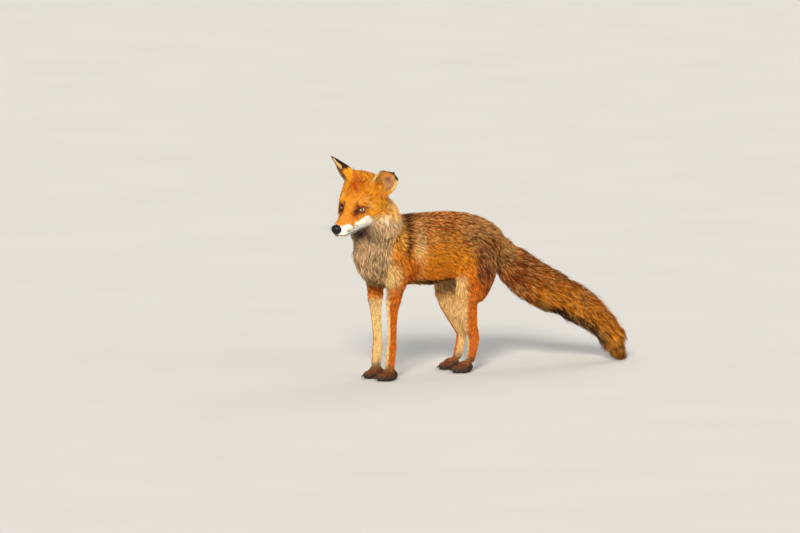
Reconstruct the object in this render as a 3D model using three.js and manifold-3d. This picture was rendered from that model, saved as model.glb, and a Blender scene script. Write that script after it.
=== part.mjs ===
import * as THREE from "three";
import { mergeVertices } from "three/addons/utils/BufferGeometryUtils.js";
import Module from "manifold-3d";

// A red fox, life size, in millimetres: it stands with its head turned a little to its left,
// one ear pricked out and the other laid back, its hind legs gathered under it and its brush
// hanging to the floor. It faces -Y, its left side is +X, and it stands on z = 0.
// Each solid is the form out to the tips of the coat, parted from its neighbours by thin cuts.

const gap = 0.4; // the width of a cut
const eyeRadius = 9.2;
const eyeSpacing = 46;
const earLength = 90;
const earHalfWidth = 26;
const earThick = 4.5;

const headPlace = [22, -270, 413]; // midway between the eyes
const headTurn = 19; // degrees to its left
const headDrop = 8; // degrees, muzzle down
const headLean = 4; // degrees, the crown to its left

const radians = THREE.MathUtils.degToRad;
const point = (x, y, z) => new THREE.Vector3(x, y, z);
const toRight = point(1, 0, 0);
const toLeft = point(-1, 0, 0);
const down = point(0, 0, -1);

const wasm = await Module();
wasm.setup();

// ---------------------------------------------------------------- solids

// The geometry with its position alone, its shared vertices merged.
function bare(geometry) {
  const g = geometry.clone();
  g.deleteAttribute("normal");
  g.deleteAttribute("uv");
  return mergeVertices(g, 1e-4);
}

function solidOf(geometry) {
  const g = bare(geometry);
  const vertProperties = g.getAttribute("position").array;
  const triVerts = new Uint32Array(g.index.array);
  return new wasm.Manifold(new wasm.Mesh({ numProp: 3, vertProperties, triVerts }));
}

function geometryOf(solid) {
  const { vertProperties, triVerts } = solid.getMesh();
  const g = new THREE.BufferGeometry();
  g.setAttribute("position", new THREE.BufferAttribute(vertProperties, 3));
  g.setIndex(new THREE.BufferAttribute(triVerts, 1));
  g.computeVertexNormals();
  return g;
}

const joined = (solids) => solids.reduce((whole, solid) => whole.add(solid));
const onFloor = (solid) => solid.trimByPlane([0, 0, 1], 0);

// The biggest of a solid's separate bodies, without the slivers that a cut may leave.
const largest = (solid) => solid.decompose().reduce((a, b) => (b.volume() > a.volume() ? b : a));

// Parts a solid at planes, in order: each has a place and the way that the next piece lies.
function parted(solid, cuts) {
  const pieces = [];
  let rest = solid;
  for (const { at, way } of cuts) {
    const n = way.clone().normalize();
    const offset = n.dot(at);
    pieces.push(rest.trimByPlane(n.clone().negate().toArray(), -offset + gap / 2));
    rest = rest.trimByPlane(n.toArray(), offset + gap / 2);
  }
  return [...pieces, rest].map(largest);
}

// ---------------------------------------------------------------- forms

// A rounded form along a smooth spine. Each row is a place on the spine, then how far the
// surface stands off it: to either side, above (on a leg, in front) and below (on a leg, behind).
function form(rows, { sides, rings, across = toLeft, round = 0.1, square = 2, grow = 0 }) {
  const spine = new THREE.CatmullRomCurve3(rows.map(([x, y, z]) => point(x, y, z)));
  const sizes = new THREE.CatmullRomCurve3(
    rows.map(([, , , wide, up, low]) => point(wide + grow, up + grow, low + grow)),
  );
  const g = bare(new THREE.SphereGeometry(1, sides, rings));
  const vertices = g.getAttribute("position");
  const p = point();
  const squared = (v) => Math.sign(v) * Math.abs(v) ** (2 / square);
  for (let i = 0; i < vertices.count; i++) {
    p.fromBufferAttribute(vertices, i);
    const angle = Math.acos(THREE.MathUtils.clamp(p.y, -1, 1));
    const t = THREE.MathUtils.clamp((angle - Math.sin(2 * angle) / 4) / Math.PI, 0, 1);
    const toEnd = Math.min(1, Math.min(t, 1 - t) / round);
    const fullness = Math.sqrt(Math.max(0, 1 - (1 - toEnd) ** 2));
    const ring = Math.hypot(p.x, p.z) || 1;
    const along = spine.getTangent(t);
    const side = across.clone().addScaledVector(along, -across.dot(along)).normalize();
    const up = point().crossVectors(along, side);
    const size = sizes.getPoint(t);
    const place = spine.getPoint(t);
    place.addScaledVector(along, (t < 0.5 ? -1 : 1) * grow * (1 - toEnd));
    place.addScaledVector(side, squared(p.x / ring) * size.x * fullness);
    place.addScaledVector(up, squared(p.z / ring) * (p.z > 0 ? size.y : size.z) * fullness);
    vertices.setXYZ(i, place.x, place.y, place.z);
  }
  return g;
}

// Raises or hollows a form: each touch has a place, a reach and a push along the surface's normal.
function modelled(geometry, touches) {
  geometry.computeVertexNormals();
  const vertices = geometry.getAttribute("position");
  const normals = geometry.getAttribute("normal");
  const p = point();
  const n = point();
  for (let i = 0; i < vertices.count; i++) {
    p.fromBufferAttribute(vertices, i);
    n.fromBufferAttribute(normals, i);
    const push = touches.reduce(
      (sum, { at, reach, by }) => sum + by * Math.exp(-p.distanceToSquared(at) / reach ** 2),
      0,
    );
    p.addScaledVector(n, push);
    vertices.setXYZ(i, p.x, p.y, p.z);
  }
  return geometry;
}

const onBothSides = (touches) =>
  touches.flatMap(({ at: [x, y, z], ...rest }) =>
    [-1, 1].map((side) => ({ at: point(side * x, y, z), ...rest })),
  );

function egg([x, y, z], [rx, ry, rz], sides, rings) {
  const g = new THREE.SphereGeometry(1, sides, rings).rotateX(Math.PI / 2);
  return g.scale(rx, ry, rz).translate(x, y, z);
}

// ---------------------------------------------------------------- trunk, neck and brush

const trunkRows = [
  [0, -228, 284, 36, 38, 40],
  [0, -192, 290, 54, 64, 66],
  [0, -140, 295, 60, 86, 84],
  [0, -70, 296, 62, 90, 80],
  [0, 5, 294, 62, 90, 86],
  [0, 75, 293, 58, 89, 74],
  [0, 140, 290, 56, 80, 62],
  [0, 195, 280, 51, 66, 56],
  [0, 245, 266, 34, 44, 42],
];

const neckRows = [
  [10, -200, 430, 40, 44, 40],
  [9, -188, 396, 62, 60, 54],
  [5, -178, 358, 64, 64, 64],
  [0, -164, 322, 54, 62, 58],
  [0, -146, 296, 40, 50, 50],
];
const neckBase = { at: point(0, -178, 342), way: point(0, 0.62, -0.78) };

const tailRows = [
  [0, 140, 308, 24, 30, 30],
  [0, 196, 288, 32, 42, 30],
  [6, 238, 258, 40, 52, 37],
  [19, 277, 227, 46, 55, 50],
  [39, 333, 186, 54, 54, 54],
  [57, 382, 164, 54, 53, 53],
  [75, 430, 138, 50, 47, 48],
  [92, 479, 101, 42, 40, 42],
  [104, 510, 62, 32, 31, 32],
  [110, 527, 24, 19, 19, 19],
  [112, 532, 2, 10, 10, 10],
];
const tailCuts = [2, 5, 8].map((i) => {
  const [before, here, after] = [i - 1, i, i + 1].map((k) => point(...tailRows[k]));
  return { at: here, way: after.clone().sub(before) };
});

const trunkForm = solidOf(form(trunkRows, { sides: 20, rings: 14 }));
const neckForm = solidOf(form(neckRows, { sides: 16, rings: 8 }));
const tailForm = onFloor(solidOf(form(tailRows, { sides: 14, rings: 15, round: 0.08 })));

// ---------------------------------------------------------------- head, in its own frame

const headRows = [
  [0, -86, -36, 12, 14, 15],
  [0, -72, -37, 17, 19, 20],
  [0, -52, -35, 20, 22, 24],
  [0, -34, -31, 25, 26, 28],
  [0, -17, -27, 31, 31, 33],
  [0, 2, -20, 39, 40, 41],
  [0, 24, -12, 49, 56, 50],
  [0, 46, -6, 57, 67, 55],
  [0, 68, -1, 60, 73.5, 56],
  [0, 90, 4, 52, 68, 52],
  [0, 108, 6, 30, 40, 34],
];
const headTouches = [
  ...onBothSides([
    { at: [30, -2, 14], reach: 11, by: 3 }, // brow
    { at: [33, -8, -14], reach: 12, by: 2.5 }, // cheekbone
    { at: [27, -10, 0], reach: 10, by: -9 }, // socket
    { at: [20, -22, -8], reach: 9, by: -3 }, // hollow before the eye
    { at: [50, 34, -30], reach: 24, by: 5 }, // fur of the cheek
  ]),
  { at: point(-32, 68, 60), reach: 22, by: 8 }, // root of the pricked ear
  { at: point(48, 50, 38), reach: 17, by: -4 }, // before the ear that is laid back
];
const headForm = (grow) => {
  const plain = form(headRows, { sides: 20, rings: 21, round: 0.09, square: 2.1, grow });
  return solidOf(modelled(plain, headTouches));
};

const noseSize = [11.4, 10, 11];
const noseForm = (grow) => solidOf(egg([0, -88.3, -30.5], noseSize.map((r) => r + grow), 10, 6));

const eyeForm = (side, grow) =>
  solidOf(egg([(side * eyeSpacing) / 2, -1, 0], Array(3).fill(eyeRadius + grow), 10, 7));

// Everything below the line of the lips, from the chin back to the corner of the mouth.
function belowLips(grow) {
  const [width, depth, front, corner, height] = [120, 60, -105, 2, -47.5];
  const g = new THREE.BoxGeometry(width, corner - front + 2 * grow, depth);
  return solidOf(g.translate(0, (front + corner) / 2, height + grow - depth / 2));
}

// An ear is a thick sheet, rolled round its own long axis, that tapers to the tip. Its outline
// is widest a little above the root, its roll (half the angle that it wraps) opens towards the
// tip, and its sheet thins towards the tip and the rims.
const earRoll = { root: 1.7, tip: 0.85 };
const earThinning = { tip: 0.45, rim: 0.4 };
const earOutline = (v) => earHalfWidth * (0.88 + 0.42 * v) * (1 - v ** 2.4) ** 0.72 + 1.2;

function earGeometry() {
  const g = new THREE.BoxGeometry(2, 1, 1, 6, 9, 1);
  const vertices = g.getAttribute("position");
  for (let i = 0; i < vertices.count; i++) {
    const u = vertices.getX(i);
    const v = vertices.getY(i) + 0.5;
    const inward = vertices.getZ(i);
    const roll = THREE.MathUtils.lerp(earRoll.root, earRoll.tip, v ** 0.8);
    const radius = earOutline(v) / Math.sin(Math.min(roll, Math.PI / 2));
    const thick = earThick * (1 - earThinning.tip * v) * (1 - earThinning.rim * u * u);
    const out = radius - inward * thick;
    const back = out * Math.cos(u * roll) - radius;
    vertices.setXYZ(i, out * Math.sin(u * roll), back, earLength * v * (1 - 0.1 * u * u));
  }
  return g;
}

// Each ear's root, then how it turns about itself, tips back and leans out, in degrees.
const ears = {
  left: { root: [43, 40, 28.5], turn: 35, back: 64, out: 3 },
  right: { root: [-20.5, 66.5, 64.5], turn: -42.5, back: 17, out: -72.5 },
};
const earForm = ({ root, turn, back, out }) => {
  const g = earGeometry().rotateZ(radians(turn)).rotateX(-radians(back));
  return solidOf(g.rotateY(radians(out)).translate(...root));
};

const headRoom = headForm(gap);
const eyesRoom = joined([-1, 1].map((side) => eyeForm(side, gap)));
const upperHead = headForm(0).subtract(belowLips(gap));
const headSolid = largest(upperHead.subtract(noseForm(gap)).subtract(eyesRoom));
const jawSolid = largest(headForm(0).intersect(belowLips(0)).subtract(noseForm(gap)));

// ---------------------------------------------------------------- legs

// Rows for a left leg, from the body to the foot, round the place where the foot stands.
const frontLegRows = [
  [-8, 48, 316, 12, 28, 28],
  [6, 26, 285, 17, 40, 38],
  [14, 12, 250, 23, 40, 36],
  [11, 2, 215, 19, 28, 27],
  [7, -2, 178, 14.5, 17, 16],
  [4, -1, 140, 12, 13, 12],
  [2, 0, 105, 11, 11.5, 11],
  [1, 0, 78, 12, 12.5, 12.5],
  [1, -4, 45, 11.5, 12, 11],
  [0, -8, 14, 12, 12, 11],
];
const hindLeftRows = [
  [-4, 90, 306, 14, 36, 32],
  [10, 62, 272, 25, 62, 54],
  [14, 42, 236, 26, 70, 60],
  [12, 27, 204, 23, 62, 54],
  [7, 11, 168, 19.5, 41.5, 38],
  [4, 20, 138, 15.5, 31, 29],
  [2, 31, 106, 12.5, 22, 19],
  [1, 41, 84, 12.5, 16.5, 16],
  [1, 36, 50, 11.5, 12.5, 12],
  [0, 25, 14, 12, 12, 11],
];
const hindRightRows = [
  [-4, 76, 306, 14, 36, 32],
  [10, 54, 272, 25, 62, 54],
  [14, 34, 236, 26, 69, 60],
  [12, 20, 204, 23, 61, 48],
  [7, 14, 168, 19, 40, 36],
  [4, 20, 138, 15, 25, 25],
  [2, 37, 106, 12.5, 17, 16],
  [1, 49, 84, 12, 14, 14],
  [1, 42, 50, 11, 11.5, 11],
  [0, 28, 14, 12, 12, 11],
];

// A limb's top is a round of the trunk's side: its middle and half-sizes along Y and Z, then the
// slant of its long way in degrees. Under a height all is limb too, as far as it reaches along Y.
const shoulder = { middle: [-130, 260], radii: [47, 66], slant: 19, under: 208, reach: 130 };
const haunch = { middle: [117, 246], radii: [64, 88], slant: 42, under: 216, reach: 88 };

const legs = [
  { name: "front_left", side: 1, stand: [31, -153], rows: frontLegRows, top: shoulder, paw: -10 },
  { name: "front_right", side: -1, stand: [-30, -136], rows: frontLegRows, top: shoulder, paw: -10 },
  { name: "hind_left", side: 1, stand: [36, 74], rows: hindLeftRows, top: haunch, paw: 8 },
  { name: "hind_right", side: -1, stand: [-36, 100], rows: hindRightRows, top: haunch, paw: 10 },
];
const legCuts = { front: [196, 82, 27], hind: [184, 96, 27] };
const innerFace = 17; // from the middle of the body to the inside of a limb's round

// The space that a limb takes out of the whole animal.
function limbRoom({ side, top }, grow) {
  const [depth, drop] = [120, 250];
  const round = new THREE.CylinderGeometry(1, 1, depth, 20).rotateZ(Math.PI / 2);
  round.scale(1, top.radii[0] + grow, top.radii[1] + grow).rotateX(-radians(top.slant));
  round.translate(side * (innerFace - grow + depth / 2), ...top.middle);
  const under = new THREE.BoxGeometry(depth, 2 * top.reach, drop);
  under.translate((side * depth) / 2, top.middle[0], top.under + grow - drop / 2);
  return solidOf(round).add(solidOf(under));
}

// Each toe's middle, ahead of the paw's, and how far it points aside, in radians.
const toes = [
  { x: -13.5, y: -12, spread: 0.2 },
  { x: -5, y: -20, spread: 0.06 },
  { x: 5, y: -20, spread: -0.06 },
  { x: 13.5, y: -12, spread: -0.2 },
];
const toeSize = [7.4, 15, 9.5];
const toeHeight = 8.2;
const ballSize = [18, 23, 16];
const ballPlace = [4, 13]; // behind the paw's middle, and above the floor

// A paw round the place where its foot stands: the ball of the foot and four toes.
function pawForm(along, grow) {
  const [behind, height] = ballPlace;
  const ball = egg([0, along + behind, height], ballSize.map((r) => r + grow), 8, 6);
  const each = toes.map(({ x, y, spread }) => {
    const toe = egg([0, 0, 0], toeSize.map((r) => r + grow), 6, 5);
    return toe.rotateZ(spread).translate(x, y + along, toeHeight);
  });
  return joined([ball, ...each].map(solidOf));
}

// A claw leaves the toe's end, curves forward and down, and ends blunt just above the floor.
const clawRows = [
  [0, 3, 10, 1.9, 2.1, 2.1],
  [0, -3, 9.6, 1.8, 2, 2],
  [0, -8, 7.2, 1.3, 1.5, 1.5],
  [0, -11.5, 3.4, 0.6, 0.6, 0.6],
];
const clawReach = 12; // from the toe's middle to the claw's root

function clawForm({ x, y, spread }, along) {
  const g = form(clawRows, { sides: 5, rings: 4, round: 0.15 });
  const [aside, ahead] = [Math.sin(spread), -Math.cos(spread)].map((part) => part * clawReach);
  g.rotateZ(spread).translate(x + aside, y + ahead + along, 0);
  return largest(solidOf(g).subtract(pawForm(along, gap)));
}

function limbForm({ side, stand, rows, paw }) {
  const mirrored = rows.map(([x, ...rest]) => [side * x, ...rest]);
  const limb = form(mirrored, { sides: 10, rings: 14, across: toRight, round: 0.08 });
  return onFloor(solidOf(limb).add(pawForm(paw, 0))).translate([...stand, 0]);
}

// ---------------------------------------------------------------- the fox

const coats = {
  russet: { color: 0xb0622a, roughness: 0.85, metalness: 0 },
  grizzled: { color: 0x8c6242, roughness: 0.85, metalness: 0 },
  cream: { color: 0xd9c2a0, roughness: 0.85, metalness: 0 },
  dark: { color: 0x2a1c16, roughness: 0.8, metalness: 0 },
  nose: { color: 0x101012, roughness: 0.35, metalness: 0 },
  eye: { color: 0xb98a45, roughness: 0.08, metalness: 0 },
  claw: { color: 0x2b2521, roughness: 0.45, metalness: 0 },
};

function mesh(name, solid, coat) {
  const made = new THREE.Mesh(geometryOf(solid), new THREE.MeshStandardMaterial(coats[coat]));
  made.name = name;
  return made;
}

const head = new THREE.Group();
head.position.set(...headPlace);
head.rotation.set(radians(headDrop), radians(headLean), radians(headTurn), "ZXY");
head.updateMatrix();
head.add(mesh("head", headSolid, "russet"), mesh("lower_jaw", jawSolid, "cream"));
head.add(mesh("nose", noseForm(0), "nose"));
for (const [name, side] of [["left", 1], ["right", -1]]) {
  head.add(mesh(`eye_${name}`, eyeForm(side, 0), "eye"));
  head.add(mesh(`ear_${name}`, largest(earForm(ears[name]).subtract(headRoom)), "dark"));
}

// The whole animal behind the head, then what each limb, the neck and the brush take from it.
const whole = joined([trunkForm, neckForm, tailForm, ...legs.map(limbForm)]);
const bodyOnly = legs.reduce((rest, leg) => rest.subtract(limbRoom(leg, gap)), whole);
const [neckPart, behindNeck] = parted(bodyOnly, [neckBase]);
const [trunkPart, ...tailParts] = parted(behindNeck, tailCuts);
const neckSolid = largest(neckPart.subtract(headRoom.transform(head.matrix.elements)));

const fox = new THREE.Group();
fox.add(head, mesh("neck", neckSolid, "russet"), mesh("trunk", trunkPart, "grizzled"));
["tail_root", "tail_middle", "tail_tip"].forEach((name, i) => {
  fox.add(mesh(name, tailParts[i], "russet"));
});

for (const leg of legs) {
  const heights = legCuts[leg.name.startsWith("front") ? "front" : "hind"];
  const cuts = heights.map((z) => ({ at: point(0, 0, z), way: down }));
  const limb = largest(whole.intersect(limbRoom(leg, 0))).translate([-leg.stand[0], -leg.stand[1], 0]);
  const [upper, lower, foot, paw] = parted(limb, cuts);
  const group = new THREE.Group();
  group.position.set(...leg.stand, 0);
  group.add(mesh(`${leg.name}_upper_leg`, upper, "russet"));
  group.add(mesh(`${leg.name}_lower_leg`, lower, "russet"));
  group.add(mesh(`${leg.name}_foot`, foot, "cream"));
  group.add(mesh(`${leg.name}_paw`, paw, "dark"));
  toes.forEach((toe, i) => {
    group.add(mesh(`${leg.name}_claw_${i + 1}`, clawForm(toe, leg.paw), "claw"));
  });
  fox.add(group);
}

// The origin is on the floor, under the middle of the animal's box.
const middle = new THREE.Box3().setFromObject(fox, true).getCenter(point());
fox.position.set(-middle.x, -middle.y, 0);

const placed = new THREE.Group();
placed.add(fox);
export default placed;
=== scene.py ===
import math

import bmesh
import bpy
import numpy as np
from mathutils import Matrix, Vector
from mathutils.bvhtree import BVHTree
from mathutils.kdtree import KDTree


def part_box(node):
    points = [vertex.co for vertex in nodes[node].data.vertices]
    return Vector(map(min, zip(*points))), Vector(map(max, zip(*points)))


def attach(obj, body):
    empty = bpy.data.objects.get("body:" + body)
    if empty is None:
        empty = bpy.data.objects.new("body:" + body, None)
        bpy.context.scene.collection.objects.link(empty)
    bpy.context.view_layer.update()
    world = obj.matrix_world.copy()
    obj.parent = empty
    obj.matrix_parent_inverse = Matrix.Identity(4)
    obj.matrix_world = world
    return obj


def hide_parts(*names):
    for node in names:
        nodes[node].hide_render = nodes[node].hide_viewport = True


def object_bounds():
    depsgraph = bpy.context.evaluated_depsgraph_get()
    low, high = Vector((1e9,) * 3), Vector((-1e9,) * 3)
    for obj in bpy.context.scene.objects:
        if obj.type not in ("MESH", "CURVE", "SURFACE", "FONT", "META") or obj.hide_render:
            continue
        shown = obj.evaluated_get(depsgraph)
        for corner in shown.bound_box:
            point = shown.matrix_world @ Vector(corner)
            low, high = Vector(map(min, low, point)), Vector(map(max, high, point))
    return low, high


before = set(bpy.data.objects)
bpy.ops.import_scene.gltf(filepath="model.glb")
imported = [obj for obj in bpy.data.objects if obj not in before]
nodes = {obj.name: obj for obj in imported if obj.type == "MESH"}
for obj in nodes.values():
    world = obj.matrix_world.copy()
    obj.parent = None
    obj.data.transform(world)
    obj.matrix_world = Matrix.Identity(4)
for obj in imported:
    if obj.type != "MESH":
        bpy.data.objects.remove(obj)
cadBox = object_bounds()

scene = bpy.context.scene
rng = np.random.default_rng(23)
mm = 0.001


# small helpers for arrays of points, one row each

def unit(v):
    return v / np.maximum(np.linalg.norm(v, axis=-1, keepdims=True), 1e-12)


def ramp(v, low, high):  # 0 at low, 1 at high, smooth between
    t = np.clip((v - low) / (high - low), 0, 1)
    return t * t * (3 - 2 * t)


def spot(p, centre, reach):  # 1 at the centre, fading out over the reach
    return np.exp(-np.sum(((p - np.array(centre)) / np.array(reach)) ** 2, axis=-1))


def dot(a, b):
    return np.sum(a * b, axis=-1)


def drift(p, size, seed):  # a slow smooth wander between about -1 and 1
    q = p / size
    a = np.sin(q[:, 0] * 1.7 + q[:, 1] * 2.3 + seed) + np.sin(q[:, 1] * 1.9 - q[:, 2] * 2.1 + seed * 2.7)
    return (a + np.sin(q[:, 2] * 2.6 + q[:, 0] * 1.3 + seed * 1.9)) / 2.2


def middleOf(node):
    low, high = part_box(node)
    return np.array((low + high) / 2)


def linear(red, green, blue):  # a colour as a screen shows it, 0 to 255, as the shader wants it
    c = np.array([red, green, blue]) / 255
    return np.where(c <= 0.04045, c / 12.92, ((c + 0.055) / 1.055) ** 2.4)


# the head's own frame, in millimetres: x to its left, y to the back, z up, from between the eyes

noseAhead, noseBelow = 87.3, 30.5
eyeLeft, eyeRight, noseMiddle = (middleOf(n) for n in ("eye_left", "eye_right", "nose"))
headX = unit(eyeLeft - eyeRight)
toNose = noseMiddle - (eyeLeft + eyeRight) / 2
toNose = unit(toNose - headX * dot(toNose, headX))
slope = math.atan2(noseBelow, noseAhead)
acrossNose = np.cross(headX, toNose)
headY = -math.cos(slope) * toNose + math.sin(slope) * acrossNose
headZ = -math.sin(slope) * toNose - math.cos(slope) * acrossNose
headAxes = np.array([headX, headY, headZ])
headOrigin = (eyeLeft + eyeRight) / 2 + headY * mm


def toHead(p):
    return (p - headOrigin) @ headAxes.T / mm


def fromHead(p):
    return np.asarray(p) @ headAxes * mm + headOrigin


def bothSides(h):  # the right side's places brought over to the left
    return np.stack([np.abs(h[:, 0]), h[:, 1], h[:, 2]], axis=1)


# each ear's frame, as in the solids: root in the head's frame, then turned, tipped back and leant out;
# the last three push the tip aside and down, and hold back the outer edge of the root
ears = {
    "left": {
        "root": (43, 40, 28.5), "turn": 35, "back": 64, "out": 3,
        "aside": 5, "down": 3, "hold": 0.5,
    },
    "right": {
        "root": (-20.5, 66.5, 64.5), "turn": -42.5, "back": 17, "out": -72.5,
        "aside": 0, "down": 0, "hold": 0,
    },
}
earHalfWidth = 26


def earAxes(side):
    e = ears[side]
    turns = ((e["out"], "Y"), (-e["back"], "X"), (e["turn"], "Z"))
    out, back, turn = (Matrix.Rotation(math.radians(angle), 3, axis) for angle, axis in turns)
    return np.array(out @ back @ turn)


def toEar(p, side):
    return (toHead(p) - np.array(ears[side]["root"])) @ earAxes(side)


def fromEar(p, side):
    return fromHead(np.asarray(p) @ earAxes(side).T + np.array(ears[side]["root"]))


def dress(ob, material, slot, *replaced):
    ob.data.materials.clear()
    ob.data.materials.append(material)
    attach(ob, "root")
    if replaced:
        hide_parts(*replaced)


def newObject(name, mesh):
    ob = bpy.data.objects.new(name, mesh)
    scene.collection.objects.link(ob)
    return ob


def read(items, key, width, kind=float):
    values = np.empty(len(items) * width, kind)
    items.foreach_get(key, values)
    return values.reshape(-1, width)


def readPoints(mesh):
    return read(mesh.vertices, "co", 3)


def writePoints(mesh, co):
    mesh.vertices.foreach_set("co", co.ravel())
    mesh.update()


def readNormals(mesh):
    return read(mesh.vertex_normals, "vector", 3, np.float32).astype(float)


def readEdges(mesh):
    return read(mesh.edges, "vertices", 2, np.int32)


def spread(values, edges, rounds, share=0.5, keep=np.ones(1)):  # averages each value with its neighbours'
    a, b = edges.T
    rows = np.array(values, float).reshape(len(values), -1)
    count = np.maximum(np.bincount(edges.ravel(), minlength=len(rows)), 1)[:, None]
    step = (share * keep)[:, None]
    for _ in range(rounds):
        sums = [np.bincount(a, v[b], len(v)) + np.bincount(b, v[a], len(v)) for v in rows.T]
        rows = rows + (np.stack(sums, axis=1) / count - rows) * step
    return rows.reshape(np.shape(values))


def evenOut(co, edges, rounds, keep=np.ones(1)):  # smooths without shrinking
    for _ in range(rounds):
        co = spread(co, edges, 1, 0.5, keep)
        co = spread(co, edges, 1, -0.52, keep)
    return co


# the skin: the flesh solids made into one surface, sunk by the depth of the coat

skin = {"cell": 3.6 * mm, "grow": 0.45 * mm, "earCell": 1.4 * mm, "steps": 5}
paws = {"high": 0.030, "behind": 0.150, "drawnTo": 0.0255, "fully": 0.021, "share": 0.92}
lidsAt = (27, -10, 0)
fleshNodes = [n for n in nodes if not n.startswith(("nose", "ear", "eye")) and "claw" not in n]


def joined(names, grow=0):  # copies of some nodes in one bmesh, each merged and grown
    whole = bmesh.new()
    for name in names:
        bm = bmesh.new()
        bm.from_mesh(nodes[name].data)
        bmesh.ops.remove_doubles(bm, verts=bm.verts, dist=1e-6)
        bm.normal_update()
        for v in bm.verts:
            v.co += v.normal * grow
        mesh = bpy.data.meshes.new("copy")
        bm.to_mesh(mesh)
        bm.free()
        whole.from_mesh(mesh)
        bpy.data.meshes.remove(mesh)
    return whole


def evaluated(ob):  # the mesh that an object's modifiers or bevel give, in place of the object
    bpy.context.view_layer.update()
    out = bpy.data.meshes.new_from_object(ob.evaluated_get(bpy.context.evaluated_depsgraph_get()))
    bpy.data.objects.remove(ob)
    return out


def voxelled(names, size, grow):
    mesh = bpy.data.meshes.new("flesh")
    bm = joined(names, grow)
    bm.to_mesh(mesh)
    bm.free()
    ob = newObject("flesh", mesh)
    remesh = ob.modifiers.new("voxels", "REMESH")
    remesh.mode, remesh.voxel_size, remesh.adaptivity = "VOXEL", size, 0
    return evaluated(ob)


def largestPart(bm):  # drops the small bubbles that the cuts leave inside
    others, best = set(bm.verts), []
    while others:
        todo, group = [others.pop()], []
        while todo:
            v = todo.pop()
            group.append(v)
            fresh = {e.other_vert(v) for e in v.link_edges} & others
            others -= fresh
            todo += fresh
        best = max(best, group, key=len)
    keep = set(best)
    bmesh.ops.delete(bm, geom=[v for v in bm.verts if v not in keep], context="VERTS")


def refine(bm, wanted):  # halves the cells where wanted(points) is true
    bm.verts.ensure_lookup_table()
    inside = wanted(np.array([v.co for v in bm.verts]))
    for v, yes in zip(bm.verts, inside):
        v.tag = bool(yes)
    edges = [e for e in bm.edges if e.verts[0].tag and e.verts[1].tag]
    bmesh.ops.subdivide_edges(bm, edges=edges, cuts=1, use_grid_fill=True)


def nearHead(p):
    x, y, z = bothSides(toHead(p)).T
    return (y < 62) & (x < 72) & (z > -60) & (z < 90)


def nearEyes(p):
    return np.linalg.norm(bothSides(toHead(p)) - np.array(lidsAt), axis=1) < 19


def nearLips(p):
    h = toHead(p)
    return (h[:, 1] < 0) & (np.abs(h[:, 2] + 46) < 10)


def nearPaws(p):
    return (p[:, 2] < paws["high"]) & (p[:, 1] < paws["behind"])


def facesOf(names):  # a search tree over the faces of some nodes, and which node each face is from
    points, faces, owners = [], [], []
    for name in names:
        mesh = nodes[name].data
        base = len(points)
        points += [v.co.copy() for v in mesh.vertices]
        faces += [[base + i for i in f.vertices] for f in mesh.polygons]
        owners += [name] * len(mesh.polygons)
    return BVHTree.FromPolygons(points, faces), owners


surface = voxelled(fleshNodes + ["eye_left", "eye_right"], skin["cell"], skin["grow"])
bm = bmesh.new()
bm.from_mesh(surface)
largestPart(bm)
refine(bm, lambda p: nearHead(p) | nearPaws(p))
refine(bm, lambda p: nearEyes(p) | nearLips(p))
bm.to_mesh(surface)
bm.free()
print("flesh surface:", len(surface.vertices), "points")

edges = readEdges(surface)
co = evenOut(readPoints(surface), edges, 10)
inHead = nearHead(co).astype(float)
co = evenOut(co, edges, 10, inHead)

# the paws are drawn back onto their solids, whose toes the voxels blur
pawTree, _ = facesOf([n for n in fleshNodes if n.endswith("_paw")])
for i in np.nonzero(nearPaws(co) & (co[:, 2] < paws["drawnTo"]))[0]:
    at = pawTree.find_nearest(Vector(co[i]))[0]
    co[i] += (np.array(at) - co[i]) * paws["share"] * ramp(co[i, 2], paws["drawnTo"], paws["fully"])
co = evenOut(co, edges, 1, nearPaws(co).astype(float))

# which solid each point belongs to
tree, owners = facesOf(fleshNodes)
owner = [owners[tree.find_nearest(Vector(p))[2]] for p in co]

# over each solid: how deep the coat is, how long its hair, how wide a tuft, in millimetres, and its sway
coatOver = {
    "head": (4, 12, 1.1, 0.06), "lower_jaw": (1.2, 5, 0.9, 0.05), "neck": (12, 26, 1.5, 0.13),
    "trunk": (10.5, 26, 1.45, 0.13), "tail_root": (17, 36, 1.55, 0.16), "tail_middle": (22, 42, 1.65, 0.17),
    "tail_tip": (13, 32, 1.6, 0.17), "upper_leg": (7, 20, 1.5, 0.12), "lower_leg": (2.6, 10, 1.15, 0.07),
    "foot": (1.6, 7, 1.0, 0.06), "paw": (1.0, 4.2, 0.85, 0.05),
}


def kindOf(name):
    return name if name in coatOver else name.split("_", 2)[2]


kinds = np.array([kindOf(n) for n in owner])
sizes = np.array([coatOver[k] for k in kinds], float)
head = toHead(co)
onHead = np.isin(kinds, ["head", "lower_jaw"])


def headCoat(h):  # the same three sizes over the head: finest on the muzzle, deep on the cheeks
    back = ramp(h[:, 1], -35, 45)
    cheek = ramp(h[:, 1], 8, 58) * ramp(h[:, 2], 22, -12)
    throat = ramp(h[:, 1], -30, 40) * ramp(h[:, 2], -30, -50)
    depth = 0.7 + 3.1 * back + 5.5 * cheek + 2.5 * throat
    length = 4.2 + 7.5 * back + 12 * cheek + 8 * throat
    width = 0.75 + 0.3 * back + 0.4 * cheek
    return np.stack([depth, length, width, 0.05 + 0.1 * cheek + 0.04 * back], axis=1)


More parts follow.
